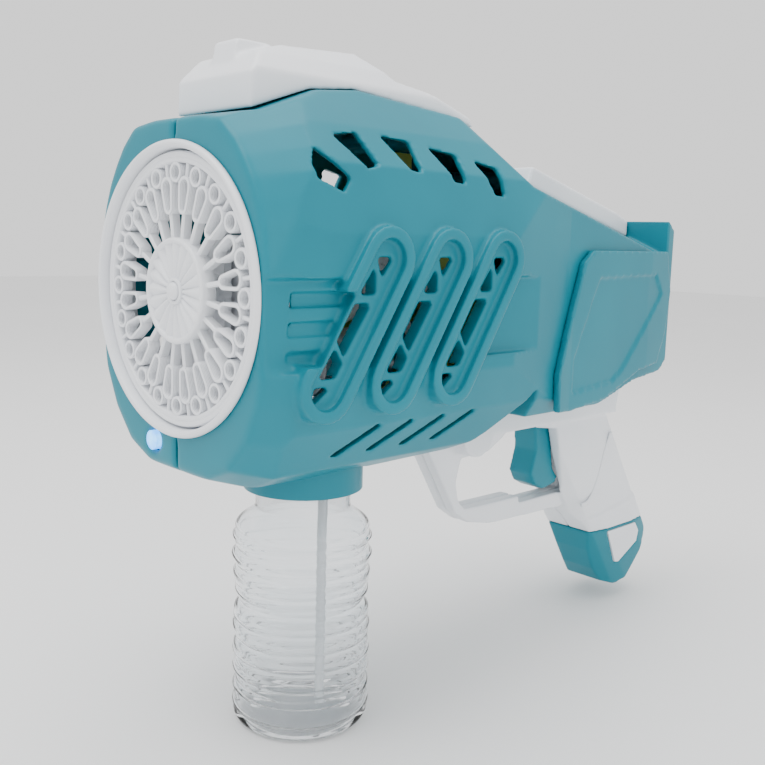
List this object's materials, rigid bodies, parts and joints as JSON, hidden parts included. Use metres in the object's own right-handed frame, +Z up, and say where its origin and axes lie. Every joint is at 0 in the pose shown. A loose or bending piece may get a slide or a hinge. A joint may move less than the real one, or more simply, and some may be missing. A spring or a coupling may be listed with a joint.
{
  "type": "bubble machine",
  "caption": "Hand-held pistol-shaped bubble machine: geared wand wheel, blower fan, screw-on bottle, trigger and battery grip.",
  "frame": {"origin": "centre of the bottle's base", "axes": "+Z up along the bottle, -Y towards the wand wheel, +X to the left side seen from behind"},
  "size_m": [0.098, 0.2536, 0.2215],
  "materials": {
    "teal_plastic": "satin moulded",
    "white_plastic": "satin moulded",
    "steel": "zinc plated",
    "brass": "plain",
    "natural_plastic": "moulded, yellow-green tint",
    "motor_can": "drawn can",
    "silicone": "clear silicone",
    "clear_plastic": "blown clear plastic",
    "dark_plastic": "moulded",
    "cell_wrap": "shrink wrap",
    "board": "solder mask",
    "lens": "clear lens"
  },
  "bodies": {
    "body": {"left_shell": "teal_plastic", "right_shell": "teal_plastic", "left_side_panel": "teal_plastic", "right_side_panel": "teal_plastic", "top_cover": "white_plastic", "rear_strip": "white_plastic", "bezel_ring": "white_plastic", "drive_motor": "motor_can", "gear_case": "natural_plastic", "pump_housing": "natural_plastic", "feed_tube": "silicone", "dip_tube": "silicone", "drip_tray": "natural_plastic", "fan_motor": "motor_can", "fan_duct": "natural_plastic", "bottle_socket": "teal_plastic", "socket_seal": "silicone", "left_frame": "white_plastic", "right_frame": "white_plastic", "trigger_pin": "steel", "trigger_spring": "steel", "trigger_switch": "dark_plastic", "circuit_board": "board", "front_light": "lens", "shell_screws": "steel", "frame_screws": "steel"},
    "wheel": {"wand_wheel": "white_plastic", "wheel_shaft": "steel", "wheel_gear": "natural_plastic"},
    "idler": {"idler_shaft": "steel", "idler_gear": "natural_plastic", "pump_rotor": "natural_plastic", "pump_rollers": "natural_plastic"},
    "pinion": {"motor_pinion": "brass"},
    "fan_rotor": {"fan": "natural_plastic"},
    "bottle": {"bottle": "clear_plastic"},
    "trigger": {"trigger": "teal_plastic"},
    "battery": {"battery_tray": "dark_plastic", "battery_cell": "cell_wrap", "battery_contacts": "brass", "grip_cap": "teal_plastic", "cap_inserts": "white_plastic", "cap_screw": "steel"}
  },
  "joints": [
    {"name": "wheel_spin", "type": "hinge", "parent": "body", "child": "wheel", "pos_m": [0, -0.048, 0.147], "axis": [0, 1, 0], "continuous": true},
    {"name": "idler_spin", "type": "hinge", "parent": "body", "child": "idler", "pos_m": [0, -0.024, 0.1262], "axis": [0, 1, 0], "continuous": true},
    {"name": "pinion_spin", "type": "hinge", "parent": "body", "child": "pinion", "pos_m": [0.0232, -0.0225, 0.1262], "axis": [0, 1, 0], "continuous": true},
    {"name": "fan_spin", "type": "hinge", "parent": "body", "child": "fan_rotor", "pos_m": [0, 0.036, 0.147], "axis": [0, 1, 0], "continuous": true},
    {"name": "bottle_turn", "type": "hinge", "parent": "body", "child": "bottle", "pos_m": [0, 0, 0.08], "axis": [0, 0, -1], "range_deg": [0, 540]},
    {"name": "trigger_pull", "type": "hinge", "parent": "body", "child": "trigger", "pos_m": [0, 0.124, 0.097], "axis": [1, 0, 0], "range_deg": [0, 10], "stiffness_Nm_per_rad": 0.15, "springref_deg": -17.19},
    {"name": "battery_slide", "type": "slide", "parent": "body", "child": "battery", "axis": [0, 0.5446, -0.8387], "range_m": [0, 0.07]}
  ],
  "couplings": [
    {"joint": "idler_spin", "follows": "wheel_spin", "ratio": -3.3333},
    {"joint": "pinion_spin", "follows": "wheel_spin", "ratio": 16}
  ]
}
